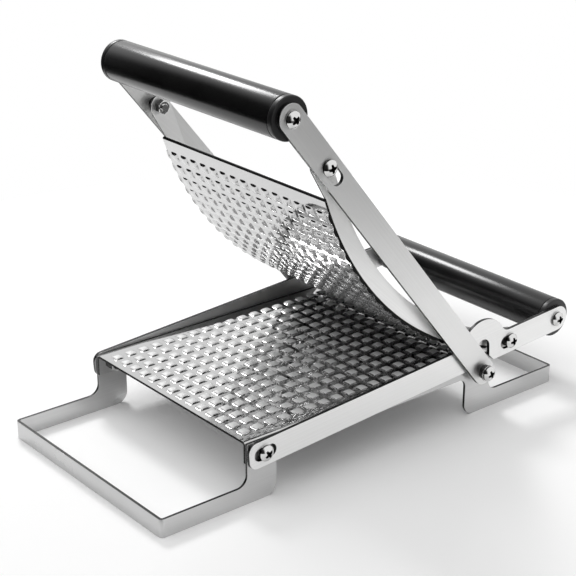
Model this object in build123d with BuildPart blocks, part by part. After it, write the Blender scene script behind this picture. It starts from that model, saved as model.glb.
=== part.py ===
"""Rocking meat tenderizer press: bent strip base, two crossed lever pairs and a curved studded press plate.

Millimetres, +Z up. X runs across the press, the front lever's open side faces -Y.
The origin is under the middle of the overall box, on the surface that the press stands on.
Right-hand pieces are modelled on +X. Pairs are mirrored about the YZ plane.
"""

import os
from math import asin, atan, atan2, cos, degrees, floor, hypot, radians, sin

from build123d import *

# Lever layout: both levers shown in the open position, handles measured from the link pins
pivot_span = 178.0
front_lever_angle = 51.0
rear_lever_angle = 3.7
front_link_offset = 34.8
front_handle_offset = 42.2
rear_handle_offset = 45.0

# Base frame: one strip, cut to profile and bent into a ring
frame_width = 160.0
frame_sheet = 2.0
frame_height = 39.2
frame_bend = 1.0
strip_height = 12.0
pivot_drop = 7.7
front_loop_reach = 73.3
rear_loop_reach = 73.8
upright_outer = 11.4
upright_inner = 10.3
foot_fillet = 7.0
heel_radius = 8.0
rail_fillet = 6.0

# Base plate: studded sheet with turned-down side flanges that fit inside the frame
plate_proud = 0.5
plate_sheet = 1.5
plate_bend = 1.0
flange_depth = 14.0
plate_end_land = 0.2
plate_side_land = 7.0

# Studs: truncated pyramids, the same on both plates
stud_pitch = 10.25
stud_base = 6.0
stud_top = 4.2
stud_height = 2.0
stud_root = 0.2

# Lever arms
arm_width = 17.0
arm_sheet = 2.5
arm_gap = 0.4
pair_gap = 0.5
arm_end_margin = 9.5
rear_arm_front_margin = 12.0
rear_arm_corner = 6.0
tip_flat = 0.1
pivot_slot_front = 4.0
pivot_slot_rear = 4.0
front_slot_inner = 9.8
rear_slot_inner = 4.5
link_slot_outer = 0.8
link_slot_play = 1.2
slot_wall = 11.0
hump_radius = 20.4
hump_rise = 2.5
hump_fillet = 7.0
notch_offset = 2.4
notch_play = 1.0
notch_rise = 3.6
mouth_depth = 4.5
mouth_flare = 4.0

# Press plate and its side cheeks, measured from the line through the four link pins
press_front_setback = 16.0
press_rear_setback = 13.0
press_sagitta = 24.0
press_depth = 38.2
press_sheet = 1.5
press_side_gap = 0.8
press_end_land = 5.5
press_side_land = 2.5
cheek_sheet = 1.5
cheek_height = 11.4
cheek_inset = 0.6
cheek_seat_gap = 0.05
lug_radius = 7.5

# Grips: tube and two end caps on a steel core rod
grip_diameter = 26.0
grip_cap_length = 3.8
grip_edge = 0.5
rod_diameter = 10.0
rod_tap_runout = 4.0

# Fasteners: one size of screw and nut throughout, gaps measured on the diameter
screw_diameter = 4.9
thread_gap = 0.1
bush_gap = 0.2
hole_gap = 0.4
head_diameter = 10.0
head_rim = 1.2
head_height = 3.6
recess_width = 1.4
recess_span = 5.2
recess_depth = 1.6
nut_flats = 8.0
nut_height = 4.0
screw_tail = 1.0
handle_screw_reach = 12.0

# Bushes, spacers and washers
barrel_wall = 1.45
shoulder_step = 0.5
link_barrel_wall = 1.2
link_flange_step = 1.1
spacer_wall = 2.25
spacer_length = 3.0
washer_rim = 0.7
washer_thickness = 1.0
running_clearance = 0.05
end_play = 0.2

# Diameters that fit each other
thread_bore = screw_diameter + thread_gap
bush_bore = screw_diameter + bush_gap
screw_hole = screw_diameter + hole_gap
barrel_diameter = bush_bore + 2 * barrel_wall
shoulder_diameter = barrel_diameter + 2 * shoulder_step
link_barrel_diameter = bush_bore + 2 * link_barrel_wall
link_flange_diameter = link_barrel_diameter + 2 * link_flange_step
spacer_diameter = bush_bore + 2 * spacer_wall
washer_diameter = spacer_diameter + 2 * washer_rim
link_slot_width = link_barrel_diameter + link_slot_play
notch_width = shoulder_diameter + 2 * notch_play
rod_tap_depth = handle_screw_reach + rod_tap_runout

# Distances along the arms: the rear link slot starts one wall behind the notch
half_notch = notch_width / 2
notch_x = pivot_span + notch_offset
front_link_radius = pivot_span + front_link_offset
rear_link_radius = notch_x + half_notch + slot_wall + link_slot_width / 2 + rear_slot_inner
front_handle_radius = front_link_radius + front_handle_offset
rear_handle_radius = rear_link_radius + rear_handle_offset

# Places that follow from the layout
pivot_height = frame_height - pivot_drop
plate_top = frame_height + plate_proud
front_angle = radians(front_lever_angle)
rear_angle = radians(rear_lever_angle)
rear_reach = max(
    rear_handle_radius * cos(rear_angle) + grip_diameter / 2,
    pivot_span + rear_loop_reach,
)
front_pivot_y = (front_loop_reach - rear_reach) / 2
rear_pivot_y = front_pivot_y + pivot_span
front_pivot = (front_pivot_y, pivot_height)
rear_pivot = (rear_pivot_y, pivot_height)


def along_front_arm(distance):
    """Point in Y and Z on the front lever's centre line, measured from the rear pivot."""
    return (
        rear_pivot_y - distance * cos(front_angle),
        pivot_height + distance * sin(front_angle),
    )


def along_rear_arm(distance):
    """Point in Y and Z on the rear lever's centre line, measured from the front pivot."""
    return (
        front_pivot_y + distance * cos(rear_angle),
        pivot_height + distance * sin(rear_angle),
    )


front_link = along_front_arm(front_link_radius)
rear_link = along_rear_arm(rear_link_radius)
front_handle = along_front_arm(front_handle_radius)
rear_handle = along_rear_arm(rear_handle_radius)
link_span = hypot(rear_link[0] - front_link[0], rear_link[1] - front_link[1])
link_tilt = atan2(rear_link[1] - front_link[1], rear_link[0] - front_link[0])

# Layers across the right-hand side, from the inside out
frame_face = frame_width / 2
flange_face = frame_face - frame_sheet
nut_seat = flange_face - plate_sheet
rear_arm_x = frame_face + arm_gap
rear_arm_face = rear_arm_x + arm_sheet
front_arm_x = rear_arm_face + pair_gap
front_arm_face = front_arm_x + arm_sheet
press_edge = rear_arm_x - press_side_gap
cheek_face = press_edge - cheek_inset
cheek_x = cheek_face - cheek_sheet
front_pivot_seat = rear_arm_face + end_play
rear_spacer_x = front_arm_face + end_play
rear_washer_x = rear_spacer_x + spacer_length
rear_pivot_seat = rear_washer_x + washer_thickness
front_link_seat = front_arm_face + end_play
rear_link_seat = rear_arm_face + end_play

# Curve of the press plate, which ends short of the link pins
press_chord = link_span - press_front_setback - press_rear_setback
press_middle = press_front_setback + press_chord / 2
press_radius = (press_chord**2 / 4 + press_sagitta**2) / (2 * press_sagitta)
press_centre = (press_middle, press_radius - press_depth)
press_sweep = 2 * degrees(asin(press_chord / 2 / press_radius))
press_start_angle = -90 - press_sweep / 2

# Stud sides, carried down by the root into the curved sheet
stud_taper = degrees(atan((stud_base - stud_top) / 2 / stud_height))
stud_foot = stud_base + stud_root * (stud_base - stud_top) / stud_height


def outward(x, point):
    """Plane on the right-hand side at distance x whose normal points out along +X."""
    return Plane(origin=(x, point[0], point[1]), x_dir=(0, 1, 0), z_dir=(1, 0, 0))


def arm_plane(x, pivot, angle):
    """Plane across X with its x axis along a lever arm and its origin on the arm's pivot."""
    return Plane(origin=(x, pivot[0], pivot[1]), x_dir=(0, cos(angle), sin(angle)), z_dir=(1, 0, 0))


press_plane = arm_plane(0, front_link, link_tilt)


def save(part, name):
    """Label a finished piece and write it under its own name."""
    part.label = name
    export_step(part, f"parts/{name}.step")


def stud_count(length, land):
    """Studs that fit along a length with at least the given bare land beyond them at both ends."""
    return floor((length - 2 * land - stud_base) / stud_pitch) + 1


# Fastener shapes, each along +Z with the seat at zero


def pan_screw(length):
    """Cross-recess pan-head screw with its head above zero and its shank below."""
    with BuildPart() as screw:
        with BuildSketch(Plane.XZ):
            with BuildLine():
                Polyline(
                    (0, head_height),
                    (0, -length),
                    (screw_diameter / 2, -length),
                    (screw_diameter / 2, 0),
                    (head_diameter / 2, 0),
                    (head_diameter / 2, head_rim),
                )
                TangentArc(
                    (0, head_height),
                    (head_diameter / 2, head_rim),
                    tangent=(1, 0),
                )
            make_face()
        revolve(axis=Axis.Z)
        with BuildSketch(Plane.XY.offset(head_height - recess_depth)):
            Rectangle(recess_span, recess_width)
            Rectangle(recess_width, recess_span)
        extrude(amount=recess_depth, mode=Mode.SUBTRACT)
    return screw.part


def hex_nut():
    """Hexagon nut below zero, seated on its upper face."""
    with BuildPart() as nut:
        with BuildSketch():
            RegularPolygon(nut_flats / 2, 6, major_radius=False)
            Circle(thread_bore / 2, mode=Mode.SUBTRACT)
        extrude(amount=-nut_height)
    return nut.part


def ring(outer_diameter, bore, length):
    """Plain ring standing on zero."""
    with BuildPart() as plain_ring:
        with BuildSketch():
            Circle(outer_diameter / 2)
            Circle(bore / 2, mode=Mode.SUBTRACT)
        extrude(amount=length)
    return plain_ring.part


def stepped_bush(foot_diameter, foot_length, body_diameter, body_length):
    """Bush with a wide foot on zero and a narrower barrel on top, bored through."""
    with BuildPart() as bush:
        with BuildSketch():
            Circle(foot_diameter / 2)
        extrude(amount=foot_length)
        with BuildSketch(Plane.XY.offset(foot_length)):
            Circle(body_diameter / 2)
        extrude(amount=body_length)
        Hole(bush_bore / 2)
    return bush.part


def save_pair(shape, plane, name):
    """Place a shape on a right-hand plane, mirror it to the left and save both as one group."""
    with BuildPart() as pair:
        with Locations(plane):
            add(shape)
        mirror(about=Plane.YZ)
    save(pair.part, name)


os.makedirs("parts", exist_ok=True)

# Base frame: the bent ring at full height, trimmed to the side profile
frame_front = front_pivot_y - front_loop_reach
frame_rear = rear_pivot_y + rear_loop_reach
frame_length = frame_rear - frame_front
rail_low = frame_height - strip_height

with BuildPart() as base_frame:
    with BuildSketch():
        with Locations((0, (frame_front + frame_rear) / 2)):
            RectangleRounded(frame_width, frame_length, frame_bend + frame_sheet)
            RectangleRounded(
                frame_width - 2 * frame_sheet,
                frame_length - 2 * frame_sheet,
                frame_bend,
                mode=Mode.SUBTRACT,
            )
    extrude(amount=frame_height)
    with BuildSketch(Plane.YZ):
        with BuildLine():
            FilletPolyline(
                (frame_front, 0),
                (front_pivot_y + upright_inner, 0),
                (front_pivot_y + upright_inner, rail_low),
                (rear_pivot_y - upright_inner, rail_low),
                (rear_pivot_y - upright_inner, 0),
                (frame_rear, 0),
                (frame_rear, strip_height),
                (rear_pivot_y + upright_outer, strip_height),
                (rear_pivot_y + upright_outer, frame_height),
                (front_pivot_y - upright_outer, frame_height),
                (front_pivot_y - upright_outer, strip_height),
                (frame_front, strip_height),
                radius=[
                    *(0, heel_radius, rail_fillet, rail_fillet, heel_radius, 0),
                    *(0, foot_fillet, 0, 0, foot_fillet, 0),
                ],
                close=True,
            )
        make_face()
    extrude(amount=frame_width, both=True, mode=Mode.INTERSECT)
    with BuildSketch(Plane.YZ):
        with Locations(front_pivot, rear_pivot):
            Circle(screw_hole / 2)
    extrude(amount=frame_width, both=True, mode=Mode.SUBTRACT)
save(base_frame.part, "base_frame")

# Base plate: folded channel with the stud pattern on top
plate_length = pivot_span + 2 * upright_outer
plate_centre_y = (front_pivot_y + rear_pivot_y) / 2
plate_wall = flange_face - plate_sheet / 2
plate_middle = plate_top - plate_sheet / 2
plate_columns = stud_count(2 * flange_face, plate_side_land)
plate_rows = stud_count(plate_length, plate_end_land)

with BuildPart() as base_plate:
    with BuildSketch(Plane.XZ.offset(-plate_centre_y)):
        with BuildLine() as fold:
            FilletPolyline(
                (-plate_wall, plate_top - flange_depth),
                (-plate_wall, plate_middle),
                (plate_wall, plate_middle),
                (plate_wall, plate_top - flange_depth),
                radius=plate_bend + plate_sheet / 2,
            )
        trace(fold.line, line_width=plate_sheet)
    extrude(amount=plate_length / 2, both=True)
    with BuildSketch(Plane.YZ):
        with Locations(front_pivot, rear_pivot):
            Circle(screw_hole / 2)
    extrude(amount=frame_width, both=True, mode=Mode.SUBTRACT)
    with BuildSketch(Plane.XY.offset(plate_top)):
        with Locations((0, plate_centre_y)):
            with GridLocations(stud_pitch, stud_pitch, plate_columns, plate_rows):
                Rectangle(stud_base, stud_base)
    extrude(amount=stud_height, taper=stud_taper)
save(base_plate.part, "base_plate")

# Pivot hardware on the uprights
save_pair(
    ring(barrel_diameter, bush_bore, front_pivot_seat - frame_face),
    outward(frame_face, front_pivot),
    "front_pivot_bushes",
)
save_pair(
    stepped_bush(
        shoulder_diameter,
        front_arm_x - end_play - frame_face,
        barrel_diameter,
        arm_sheet + 2 * end_play,
    ),
    outward(frame_face, rear_pivot),
    "rear_pivot_bushes",
)
save_pair(
    ring(spacer_diameter, bush_bore, spacer_length),
    outward(rear_spacer_x, rear_pivot),
    "rear_pivot_spacers",
)
save_pair(
    ring(washer_diameter, bush_bore, washer_thickness),
    outward(rear_washer_x, rear_pivot),
    "rear_pivot_washers",
)
for end, pivot, seat in (
    ("front", front_pivot, front_pivot_seat),
    ("rear", rear_pivot, rear_pivot_seat),
):
    reach = seat - nut_seat + nut_height + screw_tail
    save_pair(pan_screw(reach), outward(seat, pivot), f"{end}_pivot_screws")
    save_pair(hex_nut(), outward(nut_seat, pivot), f"{end}_pivot_nuts")

# Front lever arms: straight bars with a pivot bore, a link slot and a handle hole
front_slot_middle = front_link_radius + (link_slot_outer - front_slot_inner) / 2
front_slot_travel = front_slot_inner + link_slot_outer
pivot_bore = barrel_diameter + 2 * running_clearance

for side, inner_x in (("right", front_arm_x), ("left", -front_arm_face)):
    with BuildPart() as front_arm:
        with BuildSketch(arm_plane(inner_x, rear_pivot, radians(180) - front_angle)):
            with Locations((front_handle_radius / 2, 0)):
                SlotOverall(front_handle_radius + 2 * arm_end_margin, arm_width)
            Circle(pivot_bore / 2, mode=Mode.SUBTRACT)
            with Locations((front_slot_middle, 0)):
                SlotCenterToCenter(front_slot_travel, link_slot_width, mode=Mode.SUBTRACT)
            with Locations((front_handle_radius, 0)):
                Circle(screw_hole / 2, mode=Mode.SUBTRACT)
        extrude(amount=arm_sheet)
    save(front_arm.part, f"front_arm_{side}")

# Rear lever arms: bars with a slotted pivot hole and a notched hump that drops over the rear pivot bush
rear_arm_tip = rear_handle_radius + arm_end_margin
pivot_slot_middle = (pivot_slot_rear - pivot_slot_front) / 2
pivot_slot_travel = pivot_slot_rear + pivot_slot_front
rear_slot_middle = rear_link_radius + (link_slot_outer - rear_slot_inner) / 2
rear_slot_travel = rear_slot_inner + link_slot_outer
half_arm = arm_width / 2
tip_radius = half_arm - tip_flat / 2

for side, inner_x in (("right", rear_arm_x), ("left", -rear_arm_face)):
    with BuildPart() as rear_arm:
        with BuildSketch(arm_plane(inner_x, front_pivot, rear_angle)) as rear_profile:
            with BuildLine():
                FilletPolyline(
                    (-rear_arm_front_margin, -half_arm),
                    (rear_arm_tip, -half_arm),
                    (rear_arm_tip, half_arm),
                    (-rear_arm_front_margin, half_arm),
                    radius=[rear_arm_corner, tip_radius, tip_radius, rear_arm_corner],
                    close=True,
                )
            make_face()
            with Locations((notch_x, hump_rise)):
                Circle(hump_radius)
            with Locations((notch_x, -half_arm)):
                Rectangle(2 * hump_radius, hump_radius, align=(Align.CENTER, Align.MAX), mode=Mode.SUBTRACT)
            hump_roots = rear_profile.vertices().sort_by_distance((notch_x, half_arm))[:2]
            fillet(hump_roots, hump_fillet)
            with Locations((notch_x, notch_rise)):
                Circle(half_notch, mode=Mode.SUBTRACT)
            with BuildLine():
                Polyline(
                    (notch_x - half_notch, notch_rise),
                    (notch_x - half_notch, mouth_depth - half_arm),
                    (notch_x - half_notch - mouth_flare, -half_arm),
                    (notch_x + half_notch + mouth_flare, -half_arm),
                    (notch_x + half_notch, mouth_depth - half_arm),
                    (notch_x + half_notch, notch_rise),
                    close=True,
                )
            make_face(mode=Mode.SUBTRACT)
            with Locations((pivot_slot_middle, 0)):
                SlotCenterToCenter(pivot_slot_travel, pivot_bore, mode=Mode.SUBTRACT)
            with Locations((rear_slot_middle, 0)):
                SlotCenterToCenter(rear_slot_travel, link_slot_width, mode=Mode.SUBTRACT)
            with Locations((rear_handle_radius, 0)):
                Circle(screw_hole / 2, mode=Mode.SUBTRACT)
        extrude(amount=arm_sheet)
    save(rear_arm.part, f"rear_arm_{side}")

# Grips: rod between the arms, tube and end caps over it, screws through the arms into the rod
rod_bore = rod_diameter + 2 * running_clearance

for lever, handle, inner_x, seat in (
    ("front", front_handle, front_arm_x, front_arm_face),
    ("rear", rear_handle, rear_arm_x, rear_arm_face),
):
    with BuildPart() as rod:
        with BuildSketch(outward(0, handle)):
            Circle(rod_diameter / 2)
        extrude(amount=inner_x, both=True)
        with BuildSketch(outward(inner_x, handle), outward(rod_tap_depth - inner_x, handle)):
            Circle(thread_bore / 2)
        extrude(amount=-rod_tap_depth, mode=Mode.SUBTRACT)
    save(rod.part, f"{lever}_grip_rod")

    with BuildPart() as grip:
        with BuildSketch(outward(0, handle)):
            Circle(grip_diameter / 2)
            Circle(rod_bore / 2, mode=Mode.SUBTRACT)
        extrude(amount=inner_x - grip_cap_length, both=True)
        rims = grip.edges().filter_by(GeomType.CIRCLE).sort_by(SortBy.RADIUS)[-2:]
        chamfer(rims, grip_edge)
    save(grip.part, f"{lever}_grip")

    for side, cap_x in (("right", inner_x - grip_cap_length), ("left", -inner_x)):
        with BuildPart() as cap:
            with BuildSketch(outward(cap_x, handle)):
                Circle(grip_diameter / 2)
                Circle(rod_bore / 2, mode=Mode.SUBTRACT)
            extrude(amount=grip_cap_length)
            rims = cap.edges().filter_by(GeomType.CIRCLE).sort_by(SortBy.RADIUS)[-2:]
            chamfer(rims, grip_edge)
        save(cap.part, f"{lever}_grip_cap_{side}")

    save_pair(
        pan_screw(arm_sheet + handle_screw_reach),
        outward(seat, handle),
        f"{lever}_handle_screws",
    )

# Press plate: curved sheet with rows of studs on its lower, convex face
press_width = 2 * press_edge
press_arc_length = radians(press_sweep) * press_radius
press_columns = stud_count(press_width, press_side_land)
press_rows = stud_count(press_arc_length, press_end_land)
row_angle = degrees(stud_pitch / press_radius)

with BuildPart() as stud_row:
    with BuildSketch(Plane.XY.offset(-stud_root)):
        with GridLocations(stud_pitch, stud_pitch, press_columns, 1):
            Rectangle(stud_foot, stud_foot)
    extrude(amount=stud_root + stud_height, taper=stud_taper)


def press_row_plane(row):
    """Plane on the convex face at one row of studs, facing away from the curve's centre."""
    turn = radians(-90 + (row - (press_rows - 1) / 2) * row_angle)
    foot = (
        press_centre[0] + press_radius * cos(turn),
        press_centre[1] + press_radius * sin(turn),
        0,
    )
    normal = press_plane.from_local_coords(foot) - press_plane.from_local_coords((*press_centre, 0))
    return Plane(origin=press_plane.from_local_coords(foot), x_dir=(1, 0, 0), z_dir=normal)


with BuildPart() as press_plate:
    with BuildSketch(press_plane):
        with BuildLine():
            under = CenterArc(press_centre, press_radius, press_start_angle, press_sweep)
            upper = CenterArc(press_centre, press_radius - press_sheet, press_start_angle, press_sweep)
            Line(under @ 0, upper @ 0)
            Line(under @ 1, upper @ 1)
        make_face()
    extrude(amount=press_edge, both=True)
    with Locations(*(press_row_plane(row) for row in range(press_rows))):
        add(stud_row.part)
save(press_plate.part, "press_plate")

# Cheeks: bands that stand on the curved sheet and end in a lug round each link pin
cheek_low_radius = press_radius - press_sheet - cheek_seat_gap
cheek_high_radius = cheek_low_radius - cheek_height

for side, inner_x in (("right", cheek_x), ("left", -cheek_face)):
    with BuildPart() as cheek:
        with BuildSketch(press_plane.offset(inner_x)):
            with BuildLine():
                low = CenterArc(press_centre, cheek_low_radius, press_start_angle, press_sweep)
                high = CenterArc(press_centre, cheek_high_radius, press_start_angle, press_sweep)
                front_end = Line(low @ 0, high @ 0)
                rear_end = Line(low @ 1, high @ 1)
            make_face()
            for pin, band_end in (((0, 0), front_end), ((link_span, 0), rear_end)):
                with BuildLine(mode=Mode.PRIVATE):
                    lug = CenterArc(pin, lug_radius, 0, 360)
                make_hull([*band_end.edges(), *lug.edges()])
            with Locations((0, 0), (link_span, 0)):
                Circle(screw_hole / 2, mode=Mode.SUBTRACT)
        extrude(amount=cheek_sheet)
    save(cheek.part, f"cheek_{side}")

# Link pins: bush and screw through each cheek, held by a nut inside
for end, link, arm_x, seat in (
    ("front", front_link, front_arm_x, front_link_seat),
    ("rear", rear_link, rear_arm_x, rear_link_seat),
):
    save_pair(
        stepped_bush(
            link_flange_diameter,
            arm_x - end_play - cheek_face,
            link_barrel_diameter,
            arm_sheet + 2 * end_play,
        ),
        outward(cheek_face, link),
        f"{end}_link_bushes",
    )
    reach = seat - cheek_x + nut_height + screw_tail
    save_pair(pan_screw(reach), outward(seat, link), f"{end}_link_screws")
    save_pair(hex_nut(), outward(cheek_x, link), f"{end}_link_nuts")
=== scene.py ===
"""Looks of a rocking tenderizer press: satin and bright stainless steel with glossy black grips.

Metres, +Z up, in the same frame as the solids. X runs across the press, and its open side faces -Y.
"""

import math

import bmesh
import bpy
from mathutils import Matrix, Vector


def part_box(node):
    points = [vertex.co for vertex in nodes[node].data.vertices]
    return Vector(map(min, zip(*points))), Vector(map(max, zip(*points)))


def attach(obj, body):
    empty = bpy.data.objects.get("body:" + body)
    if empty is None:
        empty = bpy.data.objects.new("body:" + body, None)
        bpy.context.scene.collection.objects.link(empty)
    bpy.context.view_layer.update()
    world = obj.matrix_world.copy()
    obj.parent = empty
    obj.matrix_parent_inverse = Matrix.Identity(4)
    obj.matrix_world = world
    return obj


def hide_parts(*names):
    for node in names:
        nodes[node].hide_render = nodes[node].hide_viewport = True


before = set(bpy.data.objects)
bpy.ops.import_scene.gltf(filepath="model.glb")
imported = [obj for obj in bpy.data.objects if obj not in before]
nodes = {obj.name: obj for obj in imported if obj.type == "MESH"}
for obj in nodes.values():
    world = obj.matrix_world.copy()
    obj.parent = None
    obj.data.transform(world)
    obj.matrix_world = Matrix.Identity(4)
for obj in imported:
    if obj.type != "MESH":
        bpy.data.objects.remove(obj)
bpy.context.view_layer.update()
mm = 0.001

# Camera: where it stands, what it looks at, its lens and sensor, and the nearest distance it sees
camera_place = Vector((717.06, -597.38, 467.39)) * mm
camera_target = Vector((72.87, -70.03, 125.45)) * mm
camera_lens = 98.09
camera_sensor = 36.0
camera_near = 10.0 * mm

# Studs: low square pillows with a soft foot, the same on both plates
stud_pitch = 10.25 * mm
stud_base = 6.0 * mm
stud_foot = 7.4 * mm
stud_height = 1.2 * mm
stud_roundness = 3
stud_top_share = 0.7
half_line_shares = (0.15, 0.3, 0.45, 0.6, 0.75, 0.88, 1.0, 1.1)
count_slack = 1e-6

# Materials of a studded sheet, in the order of its material list
sheet_index = 0
cut_index = 1
stud_index = 2

# Base plate: folded sheet, whose outer face lies the full height of a solid stud below the top of its box
plate_sheet = 1.5 * mm
plate_bend = 1.0 * mm
plate_side_land = 7.0 * mm
plate_end_land = 0.2 * mm
solid_stud_height = 2.0 * mm
fold_steps = 6

# Press plate: curved sheet set back from the link pins and hung below their line, with rolled ends
press_sheet = 1.5 * mm
press_sagitta = 24.0 * mm
press_depth = 38.2 * mm
press_front_setback = 16.0 * mm
press_rear_setback = 13.0 * mm
press_stud_overhang = 5.5 * mm
press_end_land = 5.5 * mm
press_end_roll = 1.0 * mm
roll_steps = 4

# Grips and their end caps
grip_round = 0.9 * mm
cap_round = 0.7 * mm
rod_diameter = 10.0 * mm
lathe_steps = 96
round_steps = 5
grip_crease = math.radians(50)

# Pan-head screws with a cross recess
head_diameter = 10.0 * mm
head_height = 3.52 * mm
head_rim = 1.2 * mm
head_rim_round = 0.25 * mm
dome_steps = 12
screw_diameter = 4.9 * mm
screw_tail = 1.0 * mm
handle_screw_length = 14.5 * mm
thread_pitch = 0.8 * mm
thread_depth = 0.4 * mm
thread_steps = 32
rings_per_turn = 6
recess_wings = 4
recess_span = 6.2 * mm
recess_depth = 2.2 * mm
recess_root = 1.1 * mm
recess_tip = 0.72 * mm
recess_floor_share = 0.6
screw_crease = math.radians(40)

# Hexagon nuts
nut_sides = 6
nut_flats = 8.0 * mm
nut_height = 4.0 * mm
nut_bore = 5.0 * mm
nut_face_share = 0.94
nut_chamfer_slope = 0.5
nut_bore_chamfer = 0.35 * mm
nut_steps = 72
nut_crease = math.radians(25)

# The body that each pin rides on, and the turn of the recess in its right and left screws, in degrees
pin_bodies = {
    "front_pivot": "base",
    "rear_pivot": "base",
    "front_link": "press",
    "rear_link": "press",
    "front_handle": "front_lever",
    "rear_handle": "rear_lever",
}
recess_turns = {
    "front_pivot": (35.0, 70.0),
    "rear_pivot": (20.0, 55.0),
    "front_link": (12.0, 80.0),
    "rear_link": (8.0, 40.0),
    "front_handle": (40.0, 15.0),
    "rear_handle": (5.0, 62.0),
}

# Softened edges of the pieces that keep their solids
sheet_edge = 0.3 * mm
hardware_edge = 0.15 * mm
edge_steps = 2
edge_crease = math.radians(35)
weld_distance = 0.002 * mm
flat_angle = math.radians(1)

# Grain of the steel: cycles per metre along and across its line, bump strengths and depths
drawn_grain = (6.0, 2200.0)
stud_grain = (900.0, 900.0)
hardware_grain = (800.0, 800.0)
cloud_grain = (14.0, 30.0)
grain_detail = 3.0
cloud_detail = 2.0
noise_edges = (0.3, 0.7)
grain_dark_share = 0.94
satin_bump = 0.1
plain_bump = 0.04
bright_bump = 0.015
base_stud_bump = 0.05
press_stud_bump = 0.03
plate_wave = 0.03
grain_depth = 0.1 * mm
wave_depth = 2.0 * mm

# Drawn finish: how far highlights stretch across the grain, and the lean of the grain line towards X
arm_stretch = 0.85
frame_stretch = 0.6
grain_lean = 0.12

# Edges between the broad faces of sheet pieces and hardware: how far a face may turn before it counts as one,
# and their painted shade, a near-black for the shade along gaps, slot walls and rims
face_edges = (0.4, 0.62)
painted_edge_shade = (0.05, 0.05, 0.05)
loop_end_depth = 6.0 * mm
loop_end_blend = 0.002 * mm

# Grain of the black plastic
gloss_grain = (900.0, 900.0)
mottle_grain = (40.0, 40.0)
mottle_dark_share = 0.7
gloss_bump = 0.03
gloss_depth = 0.05 * mm
plastic_index = 1.5

# Colours and ranges of roughness
frame_colour = (0.62, 0.62, 0.62)
frame_roughness = (0.26, 0.34)
# Painted light: the rear arms and cheeks are painted lighter than the front arms of the same steel, for the
# brighter light on them
front_arm_colour = (0.82, 0.82, 0.815)
rear_arm_painted_light_colour = (0.91, 0.91, 0.905)
arm_roughness = (0.32, 0.4)
cheek_roughness = (0.3, 0.38)
base_plate_colour = (0.6, 0.6, 0.6)
press_plate_colour = (0.59, 0.59, 0.59)
plate_roughness = (0.04, 0.07)
# Painted highlight: the base plate's stud tops are lighter than its sheet, for the light on the tops
base_stud_highlight_colour = (0.72, 0.72, 0.72)
base_stud_roughness = (0.5, 0.6)
base_stud_metal_share = 0.25
press_stud_colour = (0.62, 0.62, 0.62)
press_stud_roughness = (0.12, 0.18)
# Painted shade: the cut faces and rolled ends of the studded sheets are near-black, for the dark line along
# the plate edges
cut_edge_shade_colour = (0.015, 0.015, 0.015)
cut_edge_roughness = (0.5, 0.6)
hardware_colour = (0.74, 0.74, 0.735)
hardware_roughness = (0.05, 0.09)
# Painted shade: the bushes are dark for the shade inside the slots they sit in
bush_shade_colour = (0.1, 0.1, 0.1)
bush_roughness = (0.25, 0.35)
# Painted shade: the cross recesses are near-black for the shade inside them
recess_shade_colour = (0.02, 0.02, 0.02)
recess_roughness = (0.45, 0.55)
grip_colour = (0.006, 0.006, 0.0062)
grip_roughness = (0.2, 0.25)
cap_colour = (0.01, 0.01, 0.0105)
cap_roughness = (0.3, 0.38)

# Floor
floor_radius = 0.49
floor_sides = 96
floor_tone = 0.97

# Soft square lamp at the upper left
key_power = 5.4
key_size = 0.28
key_place = Vector((-0.79, 0.16, 0.9))
key_target = Vector((0.0, 0.0, 0.1))

# Fill light from above: its strength by the height of a direction, and its share from front to rear
white = (1.0, 1.0, 1.0)
fill_edges = (0.25, 0.75)
fill_strengths = (0.0, 1.05)
front_fill_edges = (-0.6, 0.6)
front_fill_shares = (1.4, 0.6)

# Surroundings in reflections: dark in front up to some height, white elsewhere, grey below the horizon
room_tone = 0.02
below_tone = 0.12
dark_front_edges = (-0.45, -0.1)
dark_top_edges = (0.5, 0.9)
horizon_edges = (-0.25, 0.0)


def middle(node):
    """Centre of a node's box."""
    low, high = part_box(node)
    return (low + high) / 2


def extent(node):
    """Size of a node's box."""
    low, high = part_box(node)
    return high - low


def slope(start, end):
    """Angle of a line in the YZ plane."""
    return math.atan2(end.z - start.z, end.y - start.y)


front_pivot = middle("front_pivot_nuts")
rear_pivot = middle("rear_pivot_nuts")
front_link = middle("front_link_nuts")
rear_link = middle("rear_link_nuts")
front_arm_angle = slope(rear_pivot, middle("front_grip"))
rear_arm_angle = slope(front_pivot, middle("rear_grip"))
link_angle = slope(front_link, rear_link)


def add_object(name, data):
    """New object in the scene."""
    item = bpy.data.objects.new(name, data)
    bpy.context.scene.collection.objects.link(item)
    return item


def add_piece(name, mesh, body, node, materials):
    """Put a mesh into the scene as a piece that moves with a body and stands for a node's solid."""
    for material in materials:
        mesh.materials.append(material)
    piece = add_object(name, mesh)
    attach(piece, body)
    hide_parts(node)


# Node trees


def empty_tree(owner):
    """Emptied node tree of a material or a world."""
    owner.use_nodes = True
    owner.node_tree.nodes.clear()
    return owner.node_tree


def new_material(name):
    """Material with only a principled shader and its output."""
    material = bpy.data.materials.new(name)
    tree = empty_tree(material)
    output = tree.nodes.new("ShaderNodeOutputMaterial")
    shader = tree.nodes.new("ShaderNodeBsdfPrincipled")
    tree.links.new(shader.outputs["BSDF"], output.inputs["Surface"])
    return material, tree, shader


def combine(tree, operation, first, second):
    """Arithmetic on two values."""
    result = tree.nodes.new("ShaderNodeMath")
    result.operation = operation
    tree.links.new(first, result.inputs[0])
    tree.links.new(second, result.inputs[1])
    return result.outputs["Value"]


def size_of(tree, value, offset=0.0):
    """Absolute value of a coordinate, less an offset."""
    shifted = tree.nodes.new("ShaderNodeMath")
    shifted.operation = "SUBTRACT"
    shifted.inputs[1].default_value = offset
    tree.links.new(value, shifted.inputs[0])
    plain = tree.nodes.new("ShaderNodeMath")
    plain.operation = "ABSOLUTE"
    tree.links.new(shifted.outputs["Value"], plain.inputs[0])
    return plain.outputs["Value"]


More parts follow.
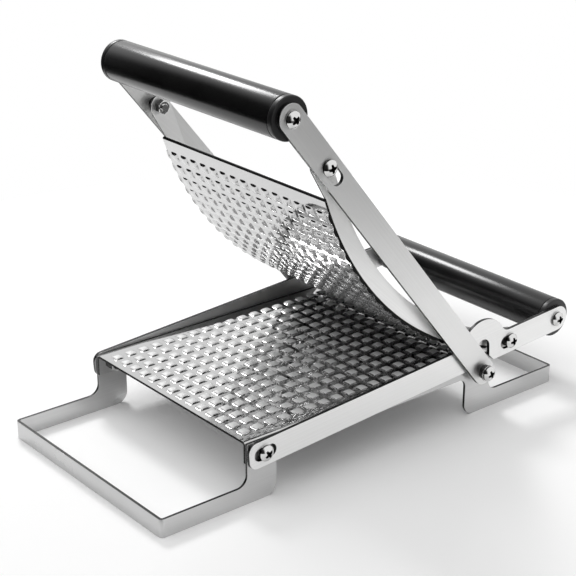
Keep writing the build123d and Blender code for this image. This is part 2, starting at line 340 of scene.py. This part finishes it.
def ramp(tree, value, edges, ends=(0.0, 1.0), kind="SMOOTHSTEP"):
    """Take a value from one range to another, and hold it at both ends."""
    step = tree.nodes.new("ShaderNodeMapRange")
    step.interpolation_type = kind
    for socket, number in zip(("From Min", "From Max", "To Min", "To Max"), (*edges, *ends)):
        step.inputs[socket].default_value = number
    tree.links.new(value, step.inputs["Value"])
    return step.outputs["Result"]


def spread(tree, noise, ends=(0.0, 1.0)):
    """Take a noise, which keeps near its middle, evenly to a range."""
    return ramp(tree, noise, noise_edges, ends, "LINEAR")


def parts_of(tree, vector):
    """X, Y and Z of a vector."""
    split = tree.nodes.new("ShaderNodeSeparateXYZ")
    tree.links.new(vector, split.inputs["Vector"])
    return split.outputs


def mix_colours(tree, first, second, factor):
    """Mix of two colours by a value."""
    mix = tree.nodes.new("ShaderNodeMix")
    mix.data_type = "RGBA"
    mix.inputs["A"].default_value = (*first, 1.0)
    mix.inputs["B"].default_value = (*second, 1.0)
    tree.links.new(factor, mix.inputs["Factor"])
    return mix


def add_bump(tree, height, strength, depth):
    """Bump of the surface by a height."""
    bump = tree.nodes.new("ShaderNodeBump")
    bump.inputs["Strength"].default_value = strength
    bump.inputs["Distance"].default_value = depth
    tree.links.new(height, bump.inputs["Height"])
    return bump


def grain_noise(tree, angle, grain, detail=grain_detail):
    """Noise drawn out along a line in the YZ plane."""
    along, across = grain
    place = tree.nodes.new("ShaderNodeTexCoord")
    turn = tree.nodes.new("ShaderNodeMapping")
    turn.inputs["Rotation"].default_value = (-angle, 0.0, 0.0)
    stretch = tree.nodes.new("ShaderNodeMapping")
    stretch.inputs["Scale"].default_value = (across, along, across)
    noise = tree.nodes.new("ShaderNodeTexNoise")
    noise.inputs["Scale"].default_value = 1.0
    noise.inputs["Detail"].default_value = detail
    tree.links.new(place.outputs["Object"], turn.inputs["Vector"])
    tree.links.new(turn.outputs["Vector"], stretch.inputs["Vector"])
    tree.links.new(stretch.outputs["Vector"], noise.inputs["Vector"])
    return noise.outputs["Fac"]


def across_grain(tree, angle):
    """Direction in each surface across the grain line. The line's lean keeps it defined on every face."""
    surface = tree.nodes.new("ShaderNodeNewGeometry")
    cross = tree.nodes.new("ShaderNodeVectorMath")
    cross.operation = "CROSS_PRODUCT"
    cross.inputs[1].default_value = (grain_lean, math.cos(angle), math.sin(angle))
    tree.links.new(surface.outputs["Normal"], cross.inputs[0])
    return cross.outputs["Vector"]


def facing(tree, axis):
    """One where the surface looks along an axis, either way, and zero where it looks across it."""
    surface = tree.nodes.new("ShaderNodeNewGeometry")
    normal = parts_of(tree, surface.outputs["Normal"])
    return ramp(tree, size_of(tree, normal[axis]), face_edges)


def upright_face(tree):
    """One on the broad faces of an upright sheet, zero on the edges between them, which take painted shade.
    """
    return facing(tree, "X")


def strip_face(tree):
    """One on the broad faces of the bent strip frame, also at the ends of its loops, zero on its edges, which
    take painted shade.
    """
    place = tree.nodes.new("ShaderNodeTexCoord")
    spot = parts_of(tree, place.outputs["Object"])
    reach = size_of(tree, spot["Y"], middle("base_frame").y)
    start = extent("base_frame").y / 2 - loop_end_depth
    at_end = ramp(tree, reach, (start, start + loop_end_blend))
    endways = combine(tree, "MULTIPLY", facing(tree, "Y"), at_end)
    return combine(tree, "MAXIMUM", facing(tree, "X"), endways)


# Materials


def steel(
    name, colour, roughness, grain=drawn_grain, bump=plain_bump, angle=0.0,
    wave=0.0, stretch=0.0, broad_face=None, metal_share=1.0,
):
    """Stainless steel with a fine grain along a line, slight sheet waviness, and painted shade on the edge
    faces between its broad faces.
    """
    material, tree, shader = new_material(name)
    shader.inputs["Metallic"].default_value = metal_share
    if stretch:
        shader.inputs["Anisotropic"].default_value = stretch
        tree.links.new(across_grain(tree, angle), shader.inputs["Tangent"])
    fine = grain_noise(tree, angle, grain)
    cloudy = grain_noise(tree, angle, cloud_grain, cloud_detail)
    dark = [grain_dark_share * part for part in colour]
    tone = mix_colours(tree, dark, colour, spread(tree, fine))
    # Painted shade: the edge faces take a near-black in place of the shade along gaps, slot walls and rims
    if broad_face:
        plain = tone
        tone = mix_colours(tree, painted_edge_shade, colour, broad_face(tree))
        tree.links.new(plain.outputs["Result"], tone.inputs["B"])
    tree.links.new(tone.outputs["Result"], shader.inputs["Base Color"])
    tree.links.new(spread(tree, cloudy, roughness), shader.inputs["Roughness"])
    relief = add_bump(tree, fine, bump, grain_depth)
    if wave:
        swell = add_bump(tree, cloudy, wave, wave_depth)
        tree.links.new(swell.outputs["Normal"], relief.inputs["Normal"])
    tree.links.new(relief.outputs["Normal"], shader.inputs["Normal"])
    return material


def black_plastic(name, colour, roughness):
    """Black moulded plastic with a faint fine grain in its gloss."""
    material, tree, shader = new_material(name)
    shader.inputs["IOR"].default_value = plastic_index
    fine = grain_noise(tree, 0.0, gloss_grain)
    mottle = grain_noise(tree, 0.0, mottle_grain)
    dark = [mottle_dark_share * part for part in colour]
    tone = mix_colours(tree, dark, colour, spread(tree, mottle))
    tree.links.new(tone.outputs["Result"], shader.inputs["Base Color"])
    tree.links.new(spread(tree, mottle, roughness), shader.inputs["Roughness"])
    relief = add_bump(tree, fine, gloss_bump, gloss_depth)
    tree.links.new(relief.outputs["Normal"], shader.inputs["Normal"])
    return material


# The frame, arms and cheeks carry painted shade on their edge faces
frame_steel = steel(
    "frame_satin_steel", frame_colour, frame_roughness,
    bump=satin_bump, stretch=frame_stretch, broad_face=strip_face,
)
front_arm_steel = steel(
    "front_arm_satin_steel", front_arm_colour, arm_roughness,
    bump=satin_bump, angle=front_arm_angle, stretch=arm_stretch, broad_face=upright_face,
)
# The rear arms and cheeks take painted light
rear_arm_steel = steel(
    "rear_arm_satin_steel", rear_arm_painted_light_colour, arm_roughness,
    bump=satin_bump, angle=rear_arm_angle, stretch=arm_stretch, broad_face=upright_face,
)
cheek_steel = steel(
    "cheek_satin_steel", rear_arm_painted_light_colour, cheek_roughness,
    bump=satin_bump, angle=link_angle, stretch=arm_stretch, broad_face=upright_face,
)
base_plate_steel = steel(
    "base_plate_bright_steel", base_plate_colour, plate_roughness, bump=bright_bump, wave=plate_wave,
)
press_plate_steel = steel(
    "press_plate_bright_steel", press_plate_colour, plate_roughness,
    bump=bright_bump, angle=link_angle, wave=plate_wave,
)
# Painted highlight on the base plate's stud tops
base_stud_steel = steel(
    "base_stud_painted_highlight_steel", base_stud_highlight_colour, base_stud_roughness,
    grain=stud_grain, bump=base_stud_bump, metal_share=base_stud_metal_share,
)
press_stud_steel = steel(
    "press_stud_bright_steel", press_stud_colour, press_stud_roughness,
    grain=stud_grain, bump=press_stud_bump,
)
# Near-black steel: painted shade on the cut faces and rolled ends of the studded sheets
cut_edge_shade_steel = steel("cut_edge_shade_steel", cut_edge_shade_colour, cut_edge_roughness)
# Painted shade: screw rims and threads, nut flats, and washer and spacer sides take the near-black edge
# colour
hardware_steel = steel(
    "hardware_bright_steel", hardware_colour, hardware_roughness,
    grain=hardware_grain, broad_face=upright_face,
)
# Painted shade on the bushes inside the slots
bush_shade_steel = steel("bush_painted_shade_steel", bush_shade_colour, bush_roughness, grain=hardware_grain)
# Painted shade inside the cross recesses
recess_shade_steel = steel("recess_painted_shade_steel", recess_shade_colour, recess_roughness, grain=hardware_grain)
grip_black = black_plastic("grip_gloss_black", grip_colour, grip_roughness)
cap_black = black_plastic("cap_satin_black", cap_colour, cap_roughness)


# Mesh helpers


def to_mesh(build, name):
    """Finish the faces that were built as a mesh."""
    mesh = bpy.data.meshes.new(name)
    build.to_mesh(mesh)
    build.free()
    return mesh


def mark_sharp(build, crease):
    """Sharpen every edge whose faces meet at more than an angle."""
    for edge in build.edges:
        edge.smooth = edge.is_manifold and edge.calc_face_angle() < crease


def ring_stack(rings, closed=False):
    """Skin over rings about the X axis, each a list of (distance along X, radius) around the ring.

    A ring of no radius becomes a point, and a closed stack joins its last ring to its first.
    """
    build = bmesh.new()
    loops = []
    for ring in rings:
        if all(radius == 0 for _, radius in ring):
            loops.append([build.verts.new((ring[0][0], 0.0, 0.0))] * len(ring))
            continue
        loop = []
        for k, (x, radius) in enumerate(ring):
            turn = 2 * math.pi * k / len(ring)
            loop.append(build.verts.new((x, radius * math.cos(turn), radius * math.sin(turn))))
        loops.append(loop)
    pairs = list(zip(loops, loops[1:]))
    if closed:
        pairs.append((loops[-1], loops[0]))
    for near, far in pairs:
        for k in range(len(near)):
            after = (k + 1) % len(near)
            corners = (near[k], near[after], far[after], far[k])
            build.faces.new(list(dict.fromkeys(corners))).smooth = True
    bmesh.ops.recalc_face_normals(build, faces=build.faces)
    return build


# Studded plates


def pillow(offset):
    """Height share across one axis of a stud: an arch that meets the sheet at the stud's foot."""
    share = min(abs(offset) / (stud_foot / 2), 1.0)
    return 1 - share**stud_roundness


def stud_lift(across, along):
    """Height of a stud's surface at an offset from its middle."""
    return stud_height * pillow(across) * pillow(along)


def stud_middles(length, land):
    """Stud centres along a length, as many as fit, evenly about its middle."""
    count = math.floor((length - 2 * land - stud_base) / stud_pitch + count_slack) + 1
    return [(i - (count - 1) / 2) * stud_pitch for i in range(count)]


def stud_lines(half_length, middles):
    """Grid lines along one axis, close together on the slopes of the studs."""
    lines = {-half_length, half_length}
    for centre in middles:
        lines.add(centre)
        for share in half_line_shares:
            lines.add(centre + share * stud_foot / 2)
            lines.add(centre - share * stud_foot / 2)
    return sorted(line for line in lines if abs(line) <= half_length)


def nearest_offset(value, middles):
    """Offset from the nearest stud centre."""
    return value - min(middles, key=lambda centre: abs(centre - value))


def on_tops(lines, middles):
    """For each gap between grid lines, whether it lies on the tops of the studs."""
    reach = stud_top_share * stud_foot / 2
    return [abs(nearest_offset((a + b) / 2, middles)) < reach for a, b in zip(lines, lines[1:])]


def studded_sheet(across, inner_across, along, columns, rows, sheet, place, end_roll=0.0):
    """Closed sheet with studs on its outer face. place(u, v, h) puts a point at a height over that face.

    The sheared ends of the outer face roll over by end_roll.
    """
    build = bmesh.new()
    outer = []
    inner = []
    for v in along:
        row_offset = nearest_offset(v, rows)
        rolled = max(end_roll - (along[-1] - abs(v)), 0.0)
        drop = end_roll - math.sqrt(end_roll**2 - rolled**2)
        lifts = [stud_lift(nearest_offset(u, columns), row_offset) - drop for u in across]
        outer.append([build.verts.new(place(u, v, lift)) for u, lift in zip(across, lifts)])
        inner.append([build.verts.new(place(u, v, -sheet)) for u in inner_across])
    top_columns = on_tops(across, columns)
    for k, on_row in enumerate(on_tops(along, rows)):
        near, far = outer[k], outer[k + 1]
        at_end = abs(along[k] + along[k + 1]) / 2 > along[-1] - end_roll
        for i, on_column in enumerate(top_columns):
            face = build.faces.new((near[i], near[i + 1], far[i + 1], far[i]))
            face.smooth = True
            face.material_index = stud_index if on_row and on_column else sheet_index
            # The rolled ends take the painted shade of the cut faces
            if at_end:
                face.material_index = cut_index
    for near, far in zip(inner, inner[1:]):
        for i in range(len(inner_across) - 1):
            build.faces.new((near[i + 1], near[i], far[i], far[i + 1])).smooth = True
    cut_faces = [
        build.faces.new((*reversed(outer[0]), *inner[0])),
        build.faces.new((*outer[-1], *reversed(inner[-1]))),
    ]
    for k in range(len(along) - 1):
        cut_faces.append(build.faces.new((outer[k][0], outer[k + 1][0], inner[k + 1][0], inner[k][0])))
        cut_faces.append(build.faces.new((outer[k + 1][-1], outer[k][-1], inner[k][-1], inner[k + 1][-1])))
    # The cut faces take painted shade
    for face in cut_faces:
        face.material_index = cut_index
        for edge in face.edges:
            edge.smooth = all(linked in cut_faces for linked in edge.link_faces)
    bmesh.ops.recalc_face_normals(build, faces=build.faces)
    return to_mesh(build, "studded_sheet")


def make_base_plate():
    """Flat studded sheet with both sides folded down."""
    low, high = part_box("base_plate")
    top = high.z - solid_stud_height
    outer_bend = plate_bend + plate_sheet
    half_flat = high.x - outer_bend
    quarter = outer_bend * math.pi / 2
    half_across = half_flat + quarter + top - outer_bend - low.z
    centre_y = (low.y + high.y) / 2
    half_along = (high.y - low.y) / 2

    def place(u, v, h):
        """Point on the flat, round the fold or down the side."""
        past = abs(u) - half_flat
        if past <= 0:
            return (u, centre_y + v, top + h)
        turn = min(past / outer_bend, math.pi / 2)
        drop = max(past - quarter, 0.0)
        x = half_flat + (outer_bend + h) * math.sin(turn)
        z = top - outer_bend + (outer_bend + h) * math.cos(turn) - drop
        return (math.copysign(x, u), centre_y + v, z)

    columns = stud_middles(2 * high.x, plate_side_land)
    rows = stud_middles(2 * half_along, plate_end_land)
    fold = [half_flat + quarter * step / fold_steps for step in range(fold_steps + 1)]
    left_fold = [-u for u in reversed(fold)]
    flat = [u for u in stud_lines(half_flat, columns) if abs(u) < half_flat]
    across = [-half_across, *left_fold, *flat, *fold, half_across]
    inner_across = [-half_across, *left_fold, *fold, half_across]
    along = stud_lines(half_along, rows)
    mesh = studded_sheet(across, inner_across, along, columns, rows, plate_sheet, place)
    materials = (base_plate_steel, cut_edge_shade_steel, base_stud_steel)
    add_piece("base_plate_sheet", mesh, "base", "base_plate", materials)


def make_press_plate():
    """Curved studded sheet below the link pins, studs on its convex face."""
    half_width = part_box("press_plate")[1].x
    along_links = (rear_link - front_link).normalized()
    up = Vector((0.0, -along_links.z, along_links.y))
    span = (rear_link - front_link).length
    chord = span - press_front_setback - press_rear_setback
    middle_along = press_front_setback + chord / 2
    radius = (chord**2 / 4 + press_sagitta**2) / (2 * press_sagitta)
    centre = front_link + along_links * middle_along + up * (radius - press_depth)
    half_along = radius * math.asin(chord / 2 / radius)

    def place(u, v, h):
        """Point round the arc of the sheet."""
        turn = v / radius
        spoke = along_links * math.sin(turn) - up * math.cos(turn)
        return Vector((u, centre.y, centre.z)) + spoke * (radius + h)

    columns = stud_middles(2 * half_width, -press_stud_overhang)
    rows = stud_middles(2 * half_along, press_end_land)
    across = stud_lines(half_width, columns)
    inner_across = (-half_width, half_width)
    rolls = [half_along - press_end_roll * step / roll_steps for step in range(1, roll_steps + 1)]
    along = sorted({*stud_lines(half_along, rows), *rolls, *(-v for v in rolls)})
    mesh = studded_sheet(across, inner_across, along, columns, rows, press_sheet, place, press_end_roll)
    materials = (press_plate_steel, cut_edge_shade_steel, press_stud_steel)
    add_piece("press_plate_sheet", mesh, "press", "press_plate", materials)


# Grips


def rounded_corner(x, radius, reach, away):
    """Quarter round from a face at x out to the rim, heading along X by the sign of away."""
    points = []
    for step in range(round_steps + 1):
        turn = math.pi / 2 * step / round_steps
        points.append((x + away * reach * (1 - math.cos(turn)), radius - reach * (1 - math.sin(turn))))
    return points


def make_turned_ring(node, body, material, rim_round):
    """Ring over the core rod, with both outer rims rounded: a grip tube or an end cap."""
    size = extent(node)
    half = size.x / 2
    radius = size.y / 2
    bore = rod_diameter / 2
    outline = [
        (-half, bore),
        *rounded_corner(-half, radius, rim_round, 1),
        *reversed(rounded_corner(half, radius, rim_round, -1)),
        (half, bore),
    ]
    build = ring_stack([[point] * lathe_steps for point in outline], closed=True)
    mark_sharp(build, grip_crease)
    bmesh.ops.translate(build, verts=build.verts, vec=middle(node))
    add_piece(f"{node}_turned", to_mesh(build, node), body, node, (material,))


def make_grips():
    """Tubes and end caps of both levers."""
    for lever in ("front", "rear"):
        make_turned_ring(f"{lever}_grip", f"{lever}_lever", grip_black, grip_round)
        for side in ("right", "left"):
            make_turned_ring(f"{lever}_grip_cap_{side}", f"{lever}_lever", cap_black, cap_round)


# Screws and nuts: modelled along X from a seat at zero, heads towards +X


def thread_rings(length):
    """Rings of a threaded shank from its tail to its seat."""
    crest = screw_diameter / 2
    root = crest - thread_depth
    count = round(length / thread_pitch * rings_per_turn)
    rings = [[(-length, 0.0)] * thread_steps]
    for i in range(count + 1):
        x = -length + length * i / count
        phases = [(x / thread_pitch - k / thread_steps) % 1.0 for k in range(thread_steps)]
        rings.append([(x, root + thread_depth * abs(2 * phase - 1)) for phase in phases])
    rings.append([(0.0, crest)] * thread_steps)
    return rings


def head_rings():
    """Rings of a pan head from its seat to the top of its dome."""
    half = head_diameter / 2
    rise = head_height - head_rim
    dome = (half**2 + rise**2) / (2 * rise)
    edge = math.asin(half / dome)
    profile = [(0.0, half - head_rim_round), (head_rim_round, half)]
    for step in range(dome_steps):
        turn = edge * (1 - step / dome_steps)
        profile.append((head_height - dome * (1 - math.cos(turn)), dome * math.sin(turn)))
    profile.append((head_height, 0.0))
    return [[point] * thread_steps for point in profile]


def cross_cutter(turn):
    """Tapered cross, turned about X, that is cut into a screw head and ends as far above its top as below."""
    outline = []
    for wing in range(recess_wings):
        heading = math.radians(turn) + 2 * math.pi * wing / recess_wings
        ahead = Vector((0.0, math.cos(heading), math.sin(heading)))
        aside = Vector((0.0, -ahead.z, ahead.y))
        tip = recess_span / 2
        outline.append(ahead * recess_root - aside * recess_root)
        outline.append(ahead * tip - aside * recess_tip)
        outline.append(ahead * tip + aside * recess_tip)
    build = bmesh.new()
    above = Vector((head_height + recess_depth, 0.0, 0.0))
    floor = Vector((head_height - recess_depth, 0.0, 0.0))
    above_share = 2 - recess_floor_share
    upper = [build.verts.new(above + point * above_share) for point in outline]
    lower = [build.verts.new(floor + point * recess_floor_share) for point in outline]
    build.faces.new(upper)
    build.faces.new(list(reversed(lower)))
    for i in range(len(outline)):
        j = (i + 1) % len(outline)
        build.faces.new((upper[j], upper[i], lower[i], lower[j]))
    bmesh.ops.recalc_face_normals(build, faces=build.faces)
    return build


def temporary_object(name, build, material):
    """Object that takes part in a cut and is deleted after it."""
    mesh = to_mesh(build, name)
    mesh.materials.append(material)
    return add_object(name, mesh)


def make_screw(length, turn):
    """One pan-head screw with a cross recess."""
    rings = [*thread_rings(length), *head_rings()]
    blank = temporary_object("blank", ring_stack(rings), hardware_steel)
    # The cutter gives the recess walls their painted shade
    cutter = temporary_object("cutter", cross_cutter(turn), recess_shade_steel)
    cut = blank.modifiers.new("recess", "BOOLEAN")
    cut.operation = "DIFFERENCE"
    cut.solver = "EXACT"
    cut.material_mode = "TRANSFER"
    cut.object = cutter
    bpy.context.view_layer.update()
    finished = blank.evaluated_get(bpy.context.evaluated_depsgraph_get())
    build = bmesh.new()
    build.from_mesh(finished.data)
    for holder in (blank, cutter):
        bpy.data.objects.remove(holder)
    mark_sharp(build, screw_crease)
    return build


def make_nut():
    """One hexagon nut below its seat, with a chamfered outer face and a chamfered bore."""
    bore = nut_bore / 2
    face = nut_flats / 2 * nut_face_share
    half_side = math.pi / nut_sides
    radii = []
    for k in range(nut_steps):
        turn = (2 * math.pi * k / nut_steps + half_side) % (2 * half_side) - half_side
        radii.append(nut_flats / 2 / math.cos(turn))
    level = -nut_height
    rings = [
        [(0.0, bore)] * nut_steps,
        [(0.0, radius) for radius in radii],
        [(level + (radius - face) * nut_chamfer_slope, radius) for radius in radii],
        [(level, face)] * nut_steps,
        [(level, bore + nut_bore_chamfer)] * nut_steps,
        [(level + nut_bore_chamfer, bore)] * nut_steps,
    ]
    build = ring_stack(rings, closed=True)
    mark_sharp(build, nut_crease)
    return build


def add_pair(name, node, body, solids, seat, materials):
    """Two solids as one piece: the first on the +X side with its seat at a distance, the second opposite."""
    centre = middle(node)
    pair = bmesh.new()
    for build, half_turn in zip(solids, (0.0, math.pi)):
        turn = Matrix.Rotation(half_turn, 4, "Z")
        spot = Vector((seat * math.cos(half_turn), centre.y, centre.z))
        bmesh.ops.transform(build, matrix=Matrix.Translation(spot) @ turn, verts=build.verts)
        part = to_mesh(build, name)
        pair.from_mesh(part)
        bpy.data.meshes.remove(part)
    add_piece(name, to_mesh(pair, name), body, node, materials)


def make_pins(pin, body):
    """Both screws of a pin, and their nuts where they have them."""
    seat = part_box(f"{pin}_screws")[1].x - head_height
    length = handle_screw_length
    if f"{pin}_nuts" in nodes:
        nut_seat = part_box(f"{pin}_nuts")[1].x
        length = seat - nut_seat + nut_height + screw_tail
        nuts = (make_nut(), make_nut())
        add_pair(f"{pin}_hex_nuts", f"{pin}_nuts", body, nuts, nut_seat, (hardware_steel,))
    screws = [make_screw(length, turn) for turn in recess_turns[pin]]
    materials = (hardware_steel, recess_shade_steel)
    add_pair(f"{pin}_pan_screws", f"{pin}_screws", body, screws, seat, materials)


# Sheet and hardware pieces that keep their solids


def soften(node, width, material):
    """Join a node's facets into plain faces, round its edges slightly and give it a material."""
    piece = nodes[node]
    piece.data.materials.clear()
    piece.data.materials.append(material)
    weld = piece.modifiers.new("weld", "WELD")
    weld.merge_threshold = weld_distance
    flatten = piece.modifiers.new("flatten", "DECIMATE")
    flatten.decimate_type = "DISSOLVE"
    flatten.angle_limit = flat_angle
    bevel = piece.modifiers.new("bevel", "BEVEL")
    bevel.width = width
    bevel.segments = edge_steps
    bevel.limit_method = "ANGLE"
    bevel.angle_limit = edge_crease
    bevel.harden_normals = True


# Floor, light and camera


def seen_rays(tree):
    """One for rays that come from the camera, a reflection or a clear body, else zero."""
    path = tree.nodes.new("ShaderNodeLightPath")
    seen = path.outputs["Is Camera Ray"]
    for name in ("Is Glossy Ray", "Is Transmission Ray"):
        seen = combine(tree, "MAXIMUM", seen, path.outputs[name])
    return seen


def floor_material():
    """Matt white that looks fully white where it is lit, and keeps shadows."""
    material = bpy.data.materials.new("floor_white")
    tree = empty_tree(material)
    output = tree.nodes.new("ShaderNodeOutputMaterial")
    matt = tree.nodes.new("ShaderNodeBsdfDiffuse")
    matt.inputs["Color"].default_value = (floor_tone, floor_tone, floor_tone, 1.0)
    glow = tree.nodes.new("ShaderNodeEmission")
    both = tree.nodes.new("ShaderNodeAddShader")
    strength = ramp(tree, seen_rays(tree), (0.0, 1.0), (0.0, 1 - floor_tone), "LINEAR")
    tree.links.new(strength, glow.inputs["Strength"])
    tree.links.new(matt.outputs["BSDF"], both.inputs[0])
    tree.links.new(glow.outputs["Emission"], both.inputs[1])
    tree.links.new(both.outputs["Shader"], output.inputs["Surface"])
    return material


def make_floor():
    """Pale plain round table top."""
    build = bmesh.new()
    bmesh.ops.create_circle(build, cap_ends=True, segments=floor_sides, radius=floor_radius)
    mesh = to_mesh(build, "floor")
    mesh.materials.append(floor_material())
    add_object("floor", mesh)


def make_world():
    """Fill light from above, and surroundings that are white to the camera and shaded in reflections."""
    world = bpy.data.worlds.new("studio")
    bpy.context.scene.world = world
    tree = empty_tree(world)
    output = tree.nodes.new("ShaderNodeOutputWorld")
    place = tree.nodes.new("ShaderNodeTexCoord")
    direction = parts_of(tree, place.outputs["Generated"])
    fill = tree.nodes.new("ShaderNodeBackground")
    fill.inputs["Color"].default_value = (*white, 1.0)
    climb = ramp(tree, direction["Z"], fill_edges, fill_strengths)
    lean = ramp(tree, direction["Y"], front_fill_edges, front_fill_shares)
    tree.links.new(combine(tree, "MULTIPLY", climb, lean), fill.inputs["Strength"])
    backdrop = tree.nodes.new("ShaderNodeBackground")
    backdrop.inputs["Strength"].default_value = 1.0
    behind = ramp(tree, direction["Y"], dark_front_edges, (room_tone, 1.0))
    overhead = ramp(tree, direction["Z"], dark_top_edges)
    above = ramp(tree, direction["Z"], horizon_edges, (below_tone, 1.0))
    mirrored = combine(tree, "MULTIPLY", combine(tree, "MAXIMUM", behind, overhead), above)
    path = tree.nodes.new("ShaderNodeLightPath")
    tone = combine(tree, "MAXIMUM", mirrored, path.outputs["Is Camera Ray"])
    tree.links.new(tone, backdrop.inputs["Color"])
    choose = tree.nodes.new("ShaderNodeMixShader")
    tree.links.new(seen_rays(tree), choose.inputs["Fac"])
    tree.links.new(fill.outputs["Background"], choose.inputs[1])
    tree.links.new(backdrop.outputs["Background"], choose.inputs[2])
    tree.links.new(choose.outputs["Shader"], output.inputs["Surface"])


def aim(item, place, target):
    """Stand a lamp or a camera at a place and turn it towards a target."""
    item.location = place
    item.rotation_euler = (place - target).to_track_quat("Z", "Y").to_euler()


def make_key_light():
    """Soft square lamp, which the camera doesn't see."""
    lamp = bpy.data.lights.new("key", "AREA")
    lamp.energy = key_power
    lamp.size = key_size
    key = add_object("key", lamp)
    aim(key, key_place, key_target)
    key.visible_camera = False


def make_camera():
    """Camera at the viewing angle."""
    lens = bpy.data.cameras.new("camera")
    lens.lens = camera_lens
    lens.sensor_width = camera_sensor
    lens.clip_start = camera_near
    camera = add_object("camera", lens)
    aim(camera, camera_place, camera_target)
    bpy.context.scene.camera = camera


make_base_plate()
make_press_plate()
make_grips()
soften("base_frame", sheet_edge, frame_steel)
for side in ("right", "left"):
    soften(f"front_arm_{side}", sheet_edge, front_arm_steel)
    soften(f"rear_arm_{side}", sheet_edge, rear_arm_steel)
    soften(f"cheek_{side}", sheet_edge, cheek_steel)
for pin, body in pin_bodies.items():
    make_pins(pin, body)
for node in nodes:
    # The bushes take painted shade
    if node.endswith("bushes"):
        soften(node, hardware_edge, bush_shade_steel)
    if node.endswith(("spacers", "washers", "rod")):
        soften(node, hardware_edge, hardware_steel)

make_floor()
make_world()
make_key_light()
make_camera()
bpy.context.scene.view_settings.view_transform = "Standard"

bpy.context.view_layer.update()
